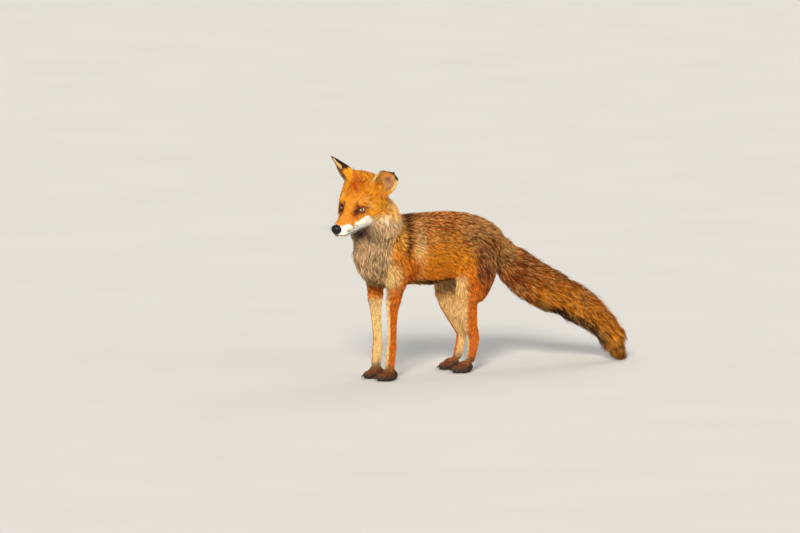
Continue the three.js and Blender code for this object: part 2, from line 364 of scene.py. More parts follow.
sizes[onHead] = headCoat(head[onHead])
chest = ramp(co[:, 1], -0.225, -0.275) * ramp(co[:, 2], 0.20, 0.25) * (kinds == "trunk")
sizes += chest[:, None] * np.array([3.5, 5, 0, 0.2])
sizes = spread(sizes, edges, 26, 0.5, 1 - 0.75 * ramp(-head[:, 1], -20, 30) * onHead)
onFloor = ramp(co[:, 2], 0.035, 0.004) * (kinds == "tail_tip")
sizes[:, 0] *= 1 - 0.75 * onFloor  # the brush's end lies on the floor, its hair pressed flat


# the lie of the coat, from the nose over the body to each foot and the brush's end

def lieOf(p, normal, kinds, head):
    way = np.zeros_like(p)
    flow = {
        "neck": (0, 0.75, -0.75), "trunk": (0, 1, -0.22), "upper_leg": (0, 0.45, -1),
        "lower_leg": (0, 0.1, -1), "foot": (0, 0, -1), "paw": (0, -1, -0.45),
    }
    for kind, direction in flow.items():
        way[kinds == kind] = unit(np.array(direction, float))
    front = ramp(p[:, 1], -0.20, -0.27) * np.isin(kinds, ["trunk", "neck"])
    way += front[:, None] * (np.array([0, 0.15, -1.0]) - way)
    rump = ramp(p[:, 1], 0.05, 0.14) * (kinds == "trunk")
    way += rump[:, None] * (unit(np.array([0, 1, -0.75])) - way)
    way[:, 2] -= 0.35 * np.abs(normal[:, 0]) * (kinds == "trunk")
    tails = ["tail_root", "tail_middle", "tail_tip"]
    places = [middleOf(n) for n in tails]
    places.append(np.array([places[2][0] + 0.02, places[2][1] + 0.02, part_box("tail_tip")[0][2]]))
    for kind, start, goal in zip(tails, places, places[1:]):
        way[kinds == kind] = unit(goal - start)
    onHead = np.isin(kinds, ["head", "lower_jaw"])
    away = head - np.array([0, -104, -30])
    away = unit(away) + np.array([0, 0.35, -0.12])
    away[:, 2] -= 0.4 * np.exp(-((head[:, 1] - 45) / 40) ** 2) * ramp(head[:, 2], 10, -20)
    way[onHead] = unit(away[onHead]) @ headAxes
    return unit(way)


writePoints(surface, co)
way = spread(lieOf(co, readNormals(surface), kinds, head), edges, 18)
shares = {k: spread((kinds == k).astype(float), edges, 8) for k in set(kinds)}

# sink the skin under the coat, in small steps so that it stays smooth
for step in range(skin["steps"]):
    normals = spread(readNormals(surface), edges, 3)
    co = co - unit(normals) * (sizes[:, :1] * mm / skin["steps"])
    co = evenOut(co, edges, 2, np.clip(sizes[:, 0] / 10, 0, 1))
    writePoints(surface, co)
print("skin sunk under the coat")


# folds of the head: each has a place in the head's frame, a reach and a push, on both sides
folds = [
    ((30, -7, 13), (12, 9, 5), 1.6),  # brow
    ((18, -21, -5), (5, 9, 5), -1.3),  # hollow before the eye
    ((31, -16, -16), (12, 12, 8), -2.6),  # under the eye
    ((16, -36, -13), (9, 15, 10), -4.0),  # side of the bridge
    ((13, -68, -40), (8, 15, 8), 1.5),  # whisker pad
    ((0, -55, -15), (6, 20, 6), -0.6),  # along the bridge
    ((0, 16, 36), (5, 20, 22), -1.4),  # furrow of the forehead
    ((0, -84, -53), (7, 8, 5), 1.2),  # chin
]
lips = {"height": -47.5, "rise": 3.5, "groove": 1.7, "width": 1.5, "corner": 1}


def lipHeight(y):
    return lips["height"] + lips["rise"] * ramp(y, -45, 0)


def foldHead(co, normals, weight):
    h = toHead(co)
    sides = bothSides(h)
    push = sum(spot(sides, at, reach) * by for at, reach, by in folds)
    below = h[:, 2] - lipHeight(h[:, 1])
    along = ramp(h[:, 1], lips["corner"] + 3, lips["corner"] - 6) * ramp(h[:, 1], -104, -99)
    push -= lips["groove"] * np.exp(-(below / lips["width"]) ** 2) * along
    push -= 0.9 * ramp(below, 0, -2) * ramp(below, -12, -4) * along
    return co + normals * (push * weight * mm)[:, None]


# the eyes: each looks along its gaze, and its lids leave an almond of it open
eye = {
    "radius": 9.15, "aside": 33, "up": 5, "slant": 12, "halfWidth": 53, "upper": 23, "lower": 24, "lid": 0.9,
    "squint": 0.66, "sunk": 3, "lidWide": 6.5, "crease": 0.55, "creaseAt": 3.4, "reach": 23,
}
eyes = {"eye_left": 1, "eye_right": -1}


def eyeAxes(side):  # rows: towards the outer corner, up, and along the gaze
    a, e, s = (math.radians(eye[k]) for k in ("aside", "up", "slant"))
    gaze = np.array([math.sin(a) * math.cos(e), -math.cos(a) * math.cos(e), math.sin(e)])
    out = np.array([math.cos(a), math.sin(a), 0])
    up = np.cross(gaze, out)
    out, up = out * math.cos(s) + up * math.sin(s), up * math.cos(s) - out * math.sin(s)
    return np.array([out, up, gaze]) * np.array([side, 1, 1])


def lidAngles(aside, side):  # how high the upper lid and how low the lower lid stand, in radians
    almond = 1 - (aside / math.radians(eye["halfWidth"])) ** 2
    inner = (1 - 0.18 * np.clip(-aside, 0, 1)) * (1 if side > 0 else eye["squint"])
    return math.radians(eye["upper"]) * almond * inner, -math.radians(eye["lower"]) * almond * inner


def openEye(co, node, side):
    centre = toHead(middleOf(node))
    h = toHead(co)
    q = (h - centre) @ eyeAxes(side).T
    r = np.linalg.norm(q, axis=1)
    near = (r < eye["reach"] + 1) & (q[:, 2] > -1)
    q, r0 = q[near], r[near]
    aside, up = np.arctan2(q[:, 0], q[:, 2]), np.arcsin(q[:, 1] / r0)
    high, low = lidAngles(aside, side)
    outside = eye["radius"] * np.maximum(up - high, low - up)
    lidTop = eye["radius"] + eye["lid"]
    lid = lidTop + (r0 - lidTop) * ramp(outside, 0.3, eye["lidWide"])
    lid = np.maximum(lid, lidTop - 0.2)
    crease = eye["crease"] * np.exp(-((outside - eye["creaseAt"]) / 0.9) ** 2) * (up > high)
    back = eye["radius"] - eye["sunk"]
    goal = back + (lid - crease - back) * ramp(outside, -0.9, 0.1)
    goal = r0 + (goal - r0) * ramp(r0, eye["reach"], 15) * ramp(q[:, 2], -1, 2)
    h[near] = centre + (q * (goal / r0)[:, None]) @ eyeAxes(side)
    out = co.copy()
    out[near] = fromHead(h[near])
    return out


headWeight = ramp(toHead(co)[:, 1], 60, 40) * shares["head"].clip(0, 1)
headWeight = np.maximum(headWeight, shares["lower_jaw"])
co = foldHead(co, readNormals(surface), headWeight)
for node, side in eyes.items():
    co = openEye(co, node, side)
writePoints(surface, co)

# the ears' skin, with its root sunk into the head's
earParts = []
for side, e in ears.items():
    mesh = voxelled(["ear_" + side], skin["earCell"], 0)
    local = toEar(evenOut(readPoints(mesh), readEdges(mesh), 6), side)
    local[:, 0] += e["aside"] * ramp(local[:, 2], 30, 84)
    local[:, 2] -= e["down"] * ramp(local[:, 2], 68, 90)
    earCo = toHead(fromEar(local, side))
    inward = unit(np.array([0, 45, 0]) - earCo)
    held = 1 - e["hold"] * ramp(local[:, 0], 2, 20)
    earCo += inward * (20 * ramp(local[:, 2], 34, -2) * held)[:, None]
    writePoints(mesh, fromHead(earCo))
    earParts.append((side, mesh))

bm = bmesh.new()
for mesh in [surface] + [m for _, m in earParts]:
    bm.from_mesh(mesh)
skinMesh = bpy.data.meshes.new("skin")
bm.to_mesh(skinMesh)
bm.free()
skinMesh.polygons.foreach_set("use_smooth", np.ones(len(skinMesh.polygons), bool))
skinOb = newObject("skin", skinMesh)
counts = [len(surface.vertices)] + [len(m.vertices) for _, m in earParts]
co = readPoints(skinMesh)
normals = readNormals(skinMesh)
head = toHead(co)
kinds = np.concatenate([kinds] + [np.repeat("ear_" + side, len(m.vertices)) for side, m in earParts])
shares = {k: np.concatenate([v, np.zeros(len(co) - len(v))]) for k, v in shares.items()}

# which face of an ear is its inside, how far along the ear, and the lie of its hair
inEar, alongEar, acrossEar = np.zeros((3, len(co)))
earSizes, earWay = [], []
for i, (side, mesh) in enumerate(earParts):
    start = sum(counts[: i + 1])
    rows = slice(start, start + counts[i + 1])
    local = toEar(co[rows], side)
    n = normals[rows] @ headAxes.T @ earAxes(side)
    t = np.clip(local[:, 2] / local[:, 2].max(), 0, 1)
    half = earHalfWidth * (0.88 + 0.42 * t) * (1 - np.minimum(t, 0.995) ** 2.4) ** 0.72 + 1.2
    axis = np.stack([np.zeros(len(t)), -half, local[:, 2]], axis=1)
    inward = unit(axis - local)
    inEar[rows] = ramp(dot(n, inward), -0.15, 0.35)
    alongEar[rows] = t
    acrossEar[rows] = np.clip(local[:, 0] / half, -1, 1)
    lie = np.stack([local[:, 0] * 0.012, np.full(len(t), -0.05), np.ones(len(t))], axis=1)
    earWay.append(unit(lie) @ earAxes(side).T @ headAxes)
    rim = ramp(np.abs(acrossEar[rows]), 0.55, 0.9) * inEar[rows] * ramp(t, 0.9, 0.5)
    fringe = np.maximum(rim, inEar[rows] * ramp(t, 0.36, 0.1))
    own = np.array([1.2, 5.5, 0.8, 0.04]) + fringe[:, None] * np.array([3.2, 11, 0.15, 0.1])
    base = (1 - inEar[rows]) * ramp(t, 0.4, 0.08)
    earSizes.append(own + base[:, None] * np.array([2.6, 6, 0.2, 0.05]))
sizes = np.concatenate([sizes] + earSizes)
way = np.concatenate([way] + earWay)
earRoots = {side: spot(toEar(co, side), (0, -8, 6), (30, 26, 20)) for side in ears}
for side in ears:  # longer hair on the head rises over each ear's root
    local = toEar(co, side)
    root = earRoots[side] * (kinds == "head")
    sizes += root[:, None] * np.array([4.5, 7, 0.1, 0.06])
    fan = unit(local * [0.3, 0.3, 0] + [0, 0, 18.0])
    way = unit(way + (fan @ earAxes(side).T @ headAxes) * (1.6 * root)[:, None])
print("skin:", len(skinMesh.vertices), "points")


# the markings: each has the colour at a hair's root and along its middle
colours = {
    "face": ((180, 84, 8), (248, 168, 38)), "rust": ((136, 44, 6), (206, 84, 10)),
    "gold": ((222, 120, 20), (255, 186, 54)), "bridge": ((206, 120, 30), (246, 164, 58)),
    "white": ((250, 236, 208), (255, 252, 238)), "tan": ((196, 140, 76), (242, 196, 124)),
    "eyeMark": ((44, 14, 8), (112, 34, 12)), "darkMark": ((34, 18, 12), (70, 36, 18)),
    "golden": ((136, 72, 8), (232, 144, 24)), "orange": ((156, 72, 6), (240, 134, 14)),
    "grizzle": ((60, 20, 12), (186, 90, 26)), "silver": ((52, 20, 12), (156, 76, 30)),
    "chest": ((78, 60, 48), (210, 174, 134)), "cream": ((214, 168, 104), (252, 216, 146)),
    "belly": ((110, 70, 40), (196, 144, 90)), "black": ((10, 7, 7), (28, 18, 18)),
    "blackBrown": ((30, 14, 10), (70, 34, 20)), "brush": ((78, 34, 8), (186, 104, 24)),
    "brushTop": ((36, 16, 8), (104, 50, 16)), "wine": ((30, 10, 8), (64, 26, 20)),
    "earSkin": ((140, 84, 54), (206, 140, 96)), "paw": ((24, 14, 10), (72, 42, 26)),
    "leg": ((158, 72, 10), (216, 112, 22)), "withers": ((30, 14, 10), (96, 50, 26)),
    "peach": ((196, 142, 84), (244, 204, 136)), "neckGold": ((146, 86, 20), (224, 150, 46)),
    "haunch": ((46, 18, 12), (126, 58, 28)),
}
palette = {k: np.concatenate([linear(*root), linear(*middle)]) for k, (root, middle) in colours.items()}
trunkLow, trunkHigh = (np.array(v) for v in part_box("trunk"))
trunkMiddle = middleOf("trunk")[0]


def layer(out):  # lays a marking's colours over the rows of out
    def lay(name, mask):
        out[:] += (palette[name] - out) * np.clip(mask, 0, 1)[:, None]
    return lay


# where the jaw's shadow is painted on the throat
def throatShadowOf(h):
    return (2.5 * spot(h, (6, 4, -67), (44, 34, 17))).clip(0, 1)


def cheekBand(h):
    return spot(bothSides(h), (58, 40, -36), (15, 18, 7.5))


def flankPlaces(p):  # how far aside and how high in the trunk, and a measure along the flank as it is seen
    x, y, z = p.T
    aside = np.abs(x - trunkMiddle)
    return aside, (z - trunkLow[2]) / (trunkHigh[2] - trunkLow[2]), aside + y


def shoulderShadow(ahead, z):  # the shadow behind the shoulder, which leans forward at the withers
    wide = 0.0085 + 0.02 * ramp(z, 0.34, 0.39)
    return np.exp(-((ahead + 0.157 + 0.15 * (z - 0.29).clip(0)) / wide) ** 2)


def paint(p, n, near):  # p and n in rows; near holds the shares of each solid, the ear's places and so on
    out = np.tile(palette["golden"], (len(p), 1))
    blotch, fine = drift(p, 0.022, 1.0), drift(p, 0.007, 4.0)
    paintBody(out, p, n, near, blotch, fine)
    paintLegs(out, p, n, near, blotch, fine)
    paintBrush(out, p, n, near["tail_root"] + near["tail_middle"] + near["tail_tip"])
    paintHead(out, toHead(p), near["head"] + near["lower_jaw"], near["neck"], blotch, fine)
    paintEars(out, near, fine)
    return out


def paintBody(out, p, n, near, blotch, fine):
    lay = layer(out)
    y, z = p[:, 1], p[:, 2]
    aside, up, ahead = flankPlaces(p)
    trunk, neck, upper = near["trunk"], near["neck"], near["upper_leg"]
    body, both = trunk + upper, trunk + neck + upper
    fore = ramp(y, -0.08, -0.13)
    # the flank, the back, the haunch and the belly
    lay("orange", ramp(up, 0.46, 0.14) * body)
    lay("grizzle", 0.9 * ramp(up + 0.06 * blotch + 0.30 * ramp(y, -0.05, 0.09), 0.50, 0.80) * body)
    lay("silver", 0.85 * ramp(y + 0.015 * blotch, -0.06, 0.04) * ramp(up, 0.12, 0.38) * body)
    lay("golden", 0.7 * spot(p, (0, -0.06, 0.262), (1, 0.075, 0.026)) * body)
    along = np.stack([ahead, z], axis=1)
    lay("haunch", 1.2 * spot(along, (0.104, 0.276), (0.022, 0.022)) * body * (0.85 + 0.3 * blotch))
    lay("haunch", 0.95 * ramp(ahead + 0.006 * blotch, 0.055, 0.080) * ramp(z, 0.30, 0.26) * body)
    # painted shade along the belly's lower edge, where it turns under
    lay("blackBrown", ramp(n[:, 2], -0.58, -0.8) * ramp(up, 0.3, 0.1) * trunk)
    lay("belly", 0.8 * ramp(n[:, 2], -0.955, -0.99) * ramp(up, 0.3, 0.1) * trunk)
    lay("cream", 0.9 * spot(along, (-0.124, 0.305), (0.017, 0.046)) * body)
    # the neck and the shoulder
    lay("neckGold", neck)
    lay("neckGold", 0.8 * trunk * ramp(y, -0.185, -0.215))
    lay("tan", 0.6 * neck * ramp(z, 0.355, 0.395) * (1 + 0.3 * blotch))
    lay("orange", 0.7 * (neck + trunk) * ramp(z, 0.33, 0.285) * ramp(y, -0.18, -0.20))
    lay("leg", upper * fore * ramp(z, 0.31, 0.25))
    lay("withers", 1.3 * spot(p, (0, -0.150, 0.388), (1, 0.034, 0.016)) * both)
    # painted shadow in the fold behind the shoulder, in the dark colour of the withers
    lay("withers", 1.3 * shoulderShadow(ahead + 0.002 * fine, z) * ramp(z, 0.25, 0.33) * both)
    # the chest, in waves
    front = ramp(ahead + 0.003 * fine, -0.211, -0.228) * ramp(z, 0.405, 0.375) * both
    lay("chest", front)
    lay("chest", upper * fore * ramp(n[:, 1], -0.3, -0.75) * ramp(z, 0.21, 0.25))
    waves = drift(p * [1, 1, 0.45], 0.006, 6.0)
    lay("blackBrown", 0.5 * front * ramp(waves, 0.35, 0.95) * ramp(z, 0.24, 0.27))
    lay("cream", 0.45 * front * ramp(waves, -0.5, -1.0))
    lay("cream", 1.2 * spot(p, (0, -0.264, 0.245), (1, 0.022, 0.026)) * ramp(aside, 0.03, 0.045))
    # painted shade under the chest and between the front legs
    lay("blackBrown", 0.8 * ramp(n[:, 2], -0.35, -0.75) * ramp(y, -0.17, -0.22) * trunk)


def paintLegs(out, p, n, near, blotch, fine):
    lay = layer(out)
    x, y, z = p.T
    ahead = flankPlaces(p)[2]
    fore = ramp(y, -0.08, -0.13)
    hind = near["upper_leg"] * (1 - fore)
    lower = near["lower_leg"] + near["foot"]
    outward = n[:, 0] * np.where(x > trunkMiddle, 1.0, -1.0)
    edge = ramp(ahead, 0.080, 0.100) * ramp(z, 0.165, 0.195)
    lay("leg", 0.9 * hind * ramp(z, 0.232, 0.200) * ramp(n[:, 1], 0.8, 0.4) * (1 - 0.75 * edge))
    within = ramp(outward, 0.1, -0.3) * ramp(n[:, 1], 0.8, 0.5)
    pale = np.maximum(ramp(ahead + 0.003 * fine, 0.048, 0.028), within)
    lay("peach", hind * np.where(outward > 0, ramp(z, 0.238, 0.215), ramp(z, 0.262, 0.235)) * pale)
    lay("leg", lower)
    lay("haunch", 0.7 * lower * (1 - fore) * ramp(n[:, 1], 0.55, 0.95) * ramp(z, 0.12, 0.16))
    lay("cream", lower * fore * ramp(outward + 0.12 * n[:, 1] + 0.06 * fine, 0.36, 0.0))
    lay("peach", lower * (1 - fore) * pale)
    lay("paw", (near["foot"] + near["paw"]) * ramp(z + 0.004 * blotch + 0.003 * fine, 0.050, 0.014))
    lay("leg", 0.3 * near["paw"] * ramp(n[:, 2], 0.3, 0.95))


def paintBrush(out, p, n, tail):
    lay = layer(out)
    y, z = p[:, 1], p[:, 2]
    lay("brush", tail)
    lay("haunch", 0.7 * tail * ramp(y, 0.27, 0.17))
    streaky = 0.35 + 0.25 * drift(p, 0.02, 3.0)
    lay("golden", streaky * tail * ramp(n[:, 2], 0.6, 0.1) * ramp(y, 0.18, 0.28))
    lay("golden", 0.75 * tail * np.exp(-((n[:, 2] + 0.28) / 0.25) ** 2) * ramp(y, 0.16, 0.22))
    lay("brushTop", 0.8 * tail * ramp(n[:, 2], 0.5, 0.85))
    # black under the brush's end: partly its dark fringe, partly painted shade
    lay("black", 0.95 * tail * ramp(n[:, 2], -0.52, -0.72) * ramp(y, 0.20, 0.27))
    lay("blackBrown", 0.6 * tail * ramp(z, 0.07, 0.02))


# spots of the face: a marking, its strength, its place in the head's frame and its reach, on both sides
# or, where x is below zero, on the right side alone
faceSpots = [
    ("gold", 0.85, (44, 16, 0), (18, 22, 16)),
    # the two tan spots above and behind the eye: partly pale hair, partly a painted highlight on the brow
    ("tan", 0.55, (43, 10, 8), (12, 10, 7)),
    ("tan", 0.45, (30, 6, 22), (9, 8, 6)),
]
eyeSpots = [
    ("darkMark", 0.8, (22, -41, -36), (4, 3, 2.6)),
    ("rust", 1.1, (27, -10, 1), (15, 13, 10)),
    ("rust", 1, (18, -26, -8), (7, 12, 9)),
    ("eyeMark", 1.9, lidsAt, (13, 10, 7.5)),
    ("darkMark", 1.3, (-30, -9, -2), (11, 11, 13)),
    ("eyeMark", 1.4, (17, -20, -4), (5.5, 9, 5.5)),
    ("eyeMark", 0.8, (20, -24, -11), (6, 8, 4)),
    ("eyeMark", 1.5, (40, 1, 4), (9, 6, 2.8)),
    ("eyeMark", 0.9, (17, -13, 10), (4.5, 7, 8)),
    ("darkMark", 1.2, (18, -17, -2), (4, 6, 3.5)),
]


def paintHead(out, h, head, neck, blotch, fine):
    lay = layer(out)
    both = np.clip(head + neck, 0, 1)
    sides = bothSides(h)
    x, y, z = sides.T

    def laySpots(rows):
        for name, strength, at, reach in rows:
            lay(name, strength * spot(h if at[0] < 0 else sides, at, reach) * head)

    # the forehead, the bridge and the cheeks
    lay("face", head)
    lay("rust", 1.2 * spot(sides, (0, 28, 46), (21, 26, 27)) * (0.9 + 0.3 * fine + 0.2 * blotch) * head)
    lay("rust", 0.45 * ramp(blotch + fine, 0.3, 1.2) * ramp(y, -10, 20) * head)
    lay("bridge", ramp(y, -26, -46) * ramp(z, -36, -24) * head)
    laySpots(faceSpots)
    lay("neckGold", ramp(y + 8 * blotch, 42, 82) * ramp(z + 6 * blotch, 40, 0) * both)
    lay("tan", 0.75 * ramp(y + 7 * blotch, 54, 86) * ramp(z, 40, 6) * ramp(z, -66, -48) * both)
    # the white of the muzzle, the ruff and the painted shadow under the chin, in black
    whiteTop = -24 - 8 * np.exp(-((y + 43) / 7) ** 2) + 9 * np.exp(-((y + 1) / 18) ** 2) - 9 * ramp(y, 10, 30)
    lay("white", ramp(z - whiteTop + 1.2 * fine, 2.0, -2.0) * ramp(y, 44, 26) * head)
    lay("tan", 0.8 * spot(sides, (48, 34, -30), (16, 20, 13)) * both)
    lay("cream", 0.8 * spot(sides, (46, 34, -29), (14, 24, 6.5)) * (0.8 + 0.4 * fine) * both)
    lay("chest", ramp(z, -38, -46) * ramp(y, 2, 16) * both)
    lay("white", 0.95 * cheekBand(h) * (0.85 + 0.4 * fine) * both)
    lay("black", 0.95 * throatShadowOf(h))
    # round the eyes, and the lips
    laySpots(eyeSpots)
    lip = h[:, 2] - lipHeight(h[:, 1])
    lay("black", np.exp(-(lip / 1.4) ** 2) * ramp(y, 8, 0) * head)
    # painted shade under the lower jaw
    lay("darkMark", 0.9 * ramp(lip, -9, -12) * ramp(x, 22, 16) * ramp(y, -62, -40) * head)
    lay("black", 0.9 * spot(sides, (0, -90, -42), (2.0, 10, 6)) * head)


def paintEars(out, near, fine):
    lay = layer(out)
    onLeft = near["left"]
    within, behind = near["ear"] * near["inEar"], near["ear"] * (1 - near["inEar"])
    along = near["alongEar"] + 0.02 * fine
    aside = near["acrossEar"] * near["leftEar"]
    edge = np.abs(near["acrossEar"]) + 0.28 * ramp(along, 0.5, 0.92)
    lay("face", near["ear"])
    lay("wine", behind * ramp(along, 0.12, 0.20))
    lay("black", 0.7 * behind * ramp(along, 0.3, 0.7))
    # the opening: bare skin with a golden wall, a dark and a pale spot
    lay("earSkin", within)
    lay("neckGold", 0.85 * within * ramp(aside, -0.05, -0.35) * onLeft)
    lay("face", 0.5 * within * ramp(along, 0.6, 0.8))
    places = np.stack([aside, along], axis=1)
    lay("wine", 0.75 * within * onLeft * spot(places, (0.12, 0.63), (0.22, 0.07)))
    # the pale spot: partly cream hair, partly a painted highlight
    lay("cream", within * onLeft * spot(places, (0, 0.33), (0.35, 0.08)))
    # the pale rims and the black edge and tip
    rimFrom = 0.86 - 0.12 * onLeft * ramp(aside, -0.1, 0.1)
    lay("cream", within * ramp(edge, rimFrom, rimFrom + 0.1) * ramp(along, 1.0, 0.8))
    lay("face", 0.9 * within * ramp(along, 0.20, 0.08))
    lay("cream", behind * ramp(edge, 0.88, 0.96) * ramp(along, 0.9, 0.7))
    start = 0.16 * ramp(aside, 0.1, -0.1)
    rim = ramp(edge, 0.84 - start / 2, 0.92 - start / 2) * ramp(along, 0.58 - start, 0.66 - start)
    lay("black", near["ear"] * onLeft * rim)
    lay("black", near["ear"] * ramp(along + 0.05 * onLeft * ramp(aside, 0.2, -0.4), 0.82, 0.89))


def streaks(p, near):  # how many hairs are pale or dark at the tip, and how strongly
    y, z = p[:, 1], p[:, 2]
    _, up, ahead = flankPlaces(p)
    busy = ramp(up + 0.35 * ramp(y, -0.06, 0.06), 0.35, 0.75)
    front = ramp(y, -0.25, -0.28)
    onHaunch = ramp(ahead, 0.04, 0.075)
    tail = near["tail_root"] + near["tail_middle"] + near["tail_tip"]
    body, ruff = near["trunk"] + near["upper_leg"], near["neck"]
    head = near["head"] + near["lower_jaw"]
    fold = shoulderShadow(ahead, z) * ramp(z, 0.25, 0.31) * (body + ruff).clip(0, 1)
    pale = 0.20 + body * (0.08 + 0.16 * busy + 0.06 * front) + 0.14 * ruff + 0.1 * head
    pale = pale + 0.28 * body * ramp(ahead, 0.0, 0.06) * ramp(z, 0.21, 0.25)
    # no pale tips in the painted shadow behind the shoulder
    pale *= 1 - 0.9 * fold
    dark = 0.12 + body * (0.06 + 0.24 * busy + 0.16 * front) + 0.05 * ruff + 0.18 * tail - 0.04 * head
    dark += 0.14 * body * onHaunch * (1 - busy)
    strong = 0.78 + 0.2 * body * np.maximum(busy, front) + 0.2 * tail + 0.1 * ruff + 0.08 * head
    strong -= 0.62 * near["ear"] * (1 - near["inEar"]) + 0.4 * near["paw"]
    pale += 0.35 * near["ear"] * near["inEar"]
    h = toHead(p)
    calm = ramp(h[:, 2], -20, -27) * ramp(h[:, 1], 40, 26) * head.clip(0, 1)
    strong *= 1 - 0.85 * np.maximum(calm, 0.7 * cheekBand(h))
    # no pale tips in the painted shadow under the jaw
    pale *= 1 - throatShadowOf(h)
    warm = (0.6 * head + body * ramp(up, 0.62, 0.3) * (1 - front) * (1 - onHaunch)).clip(0, 1)
    return pale, dark, strong.clip(0.1, 0.95), warm


fields = dict(shares)
fields["ear"] = np.char.startswith(kinds, "ear").astype(float)
fields["left"] = (kinds == "ear_left").astype(float)
fields["leftEar"] = 2 * fields["left"] - 1
fields["inEar"], fields["alongEar"], fields["acrossEar"] = inEar, alongEar, acrossEar


# materials: one small class wraps a socket, so that shader maths reads as plain expressions

def plug(tree, socket, item):
    if isinstance(item, Value):
        tree.links.new(item.socket, socket)
    else:
        socket.default_value = item


class Value:
    def __init__(self, tree, socket):
        self.tree, self.socket = tree, socket

    def math(self, operation, *items):
        node = self.tree.nodes.new("ShaderNodeMath")
        node.operation = operation
        for socket, item in zip(node.inputs, items):
            plug(self.tree, socket, item)
        return Value(self.tree, node.outputs[0])

    def __add__(self, other):
        return self.math("ADD", self, other)

    def __sub__(self, other):
        return self.math("SUBTRACT", self, other)

    def __rsub__(self, other):
        return self.math("SUBTRACT", other, self)

    def __mul__(self, other):
        return self.math("MULTIPLY", self, other)

    def __truediv__(self, other):
        return self.math("DIVIDE", self, other)

    def __rtruediv__(self, other):
        return self.math("DIVIDE", other, self)

    def __pow__(self, other):
        return self.math("POWER", self, other)

    __radd__, __rmul__ = __add__, __mul__


class Shader:
    def __init__(self, name, **surface):
        self.material = bpy.data.materials.new(name)
        self.material.use_nodes = True
        self.tree = self.material.node_tree
        self.tree.nodes.clear()
        self.surface = self.tree.nodes.new("ShaderNodeBsdfPrincipled")
        output = self.tree.nodes.new("ShaderNodeOutputMaterial")
        self.tree.links.new(self.surface.outputs[0], output.inputs[0])
        self.use(**surface)

    def set(self, node, sockets):  # a socket by its name with _ for a space, or by s and its number
        for key, item in sockets.items():
            place = int(key[1:]) if key[1:].isdigit() else key.replace("_", " ")
            plug(self.tree, node.inputs[place], item)

    def node(self, kind, settings=None, out=0, **sockets):  # any node: its settings first, then its sockets
        made = self.tree.nodes.new("ShaderNode" + kind)
        for key, item in (settings or {}).items():
            if key == "stops":
                for element, (place, shade) in zip(made.color_ramp.elements, item):
                    element.position, element.color = place, shade
            else:
                setattr(made, key, item)
        self.set(made, sockets)
        return Value(self.tree, made.outputs[out])

    def attribute(self, name, out="Color"):
        return self.node("Attribute", {"attribute_name": name}, out)

    def noise(self, scale, detail=3, place=None):
        place = place or self.node("TexCoord", None, "Object")
        return self.node("TexNoise", None, Vector=place, Scale=scale, Detail=detail)

    def mix(self, share, a, b, blend="MIX"):
        return self.node("Mix", {"data_type": "RGBA", "blend_type": blend}, 2, s0=share, s6=a, s7=b)

    def scale(self, colour, tone):
        shade = self.node("CombineColor", None, Red=tone, Green=tone, Blue=tone)
        return self.mix(1.0, colour, shade, "MULTIPLY")

    def between(self, value, *ends):  # from the low and high end given to 0 and 1, or to the next two
        return self.node("MapRange", None, Value=value, **{f"s{i}": end for i, end in enumerate(ends, 1)})

    def bump(self, height, strength, distance):
        return self.node("Bump", None, Height=height, Strength=strength, Distance=distance)

    def use(self, **sockets):
        self.set(self.surface, sockets)
        return self.material


def shaded(*colour):
    return (*linear(*colour), 1)


def skinMaterial():
    s = Shader("fox_skin", Roughness=0.75)
    flecks, patches = s.noise(900, 4), s.noise(120, 3)
    colour = s.scale(s.attribute("coatColour"), s.between(flecks, 0.3, 0.7, 0.62, 1.08))
    return s.use(Base_Color=colour, Normal=s.bump(flecks + patches * 0.4, 0.5, 0.0006))


def coatMaterial(name, roughness):
    s = Shader(name, Roughness=roughness, Specular_IOR_Level=0.1)
    along = s.attribute("along", "Fac") + (s.noise(260, 2) - 0.5) * 0.25
    hair = s.mix(s.between(along, 0.06, 0.42), s.attribute("rootColour"), s.attribute("middleColour"))
    hair = s.mix(s.between(along, 0.45, 0.80), hair, s.attribute("tipColour"))
    return s.use(Base_Color=s.scale(hair, s.attribute("tone", "Fac")))


def setColours(mesh, name, values):
    attribute = mesh.attributes.new(name, "FLOAT_COLOR", "POINT")
    rows = np.concatenate([values, np.ones((len(values), 1))], axis=1).astype(np.float32)
    attribute.data.foreach_set("color", rows.ravel())


def setNumbers(mesh, name, values):
    mesh.attributes.new(name, "FLOAT", "POINT").data.foreach_set("value", np.asarray(values, np.float32))


skinColour = paint(co, normals, fields)
# the skin takes mostly the dark root colour: the coat's own underfur, and painted shade in the gaps between
# the tufts
setColours(skinMesh, "coatColour", skinColour[:, :3] * 0.7 + skinColour[:, 3:] * 0.3)
dress(skinOb, skinMaterial(), "russet", *fleshNodes, "ear_left", "ear_right")


# the coat: closed three-sided tufts, rooted on the skin, that lie along it in its own direction
tuft = {
    "flat": 0.55, "sink": 0.4 * mm, "patch": 0.003, "clump": 7 * mm, "gather": 0.42, "alike": 0.7,
    "proud": 0.06, "floor": 0.5 * mm, "lowest": 0.2 * mm,
}
shapes = {  # a tuft's rings, each with its place along the tuft and its width, and how far its tip lifts
    "long": ([(0.0, 0.8), (0.34, 1.0), (0.70, 0.62)], (0.5, 1.0)),
    "short": ([(0.0, 0.9), (0.5, 0.85)], (0.5, 1.0)),
    "flat": ([(0.0, 0.9), (0.5, 0.85)], (0.25, 0.9)),
}


def searchTree(points):
    tree = KDTree(len(points))
    for i, p in enumerate(points):
        tree.insert(p, i)
    tree.balance()
    return tree


def nearest(tree, p):
    return np.array([tree.find(Vector(q))[1] for q in p])


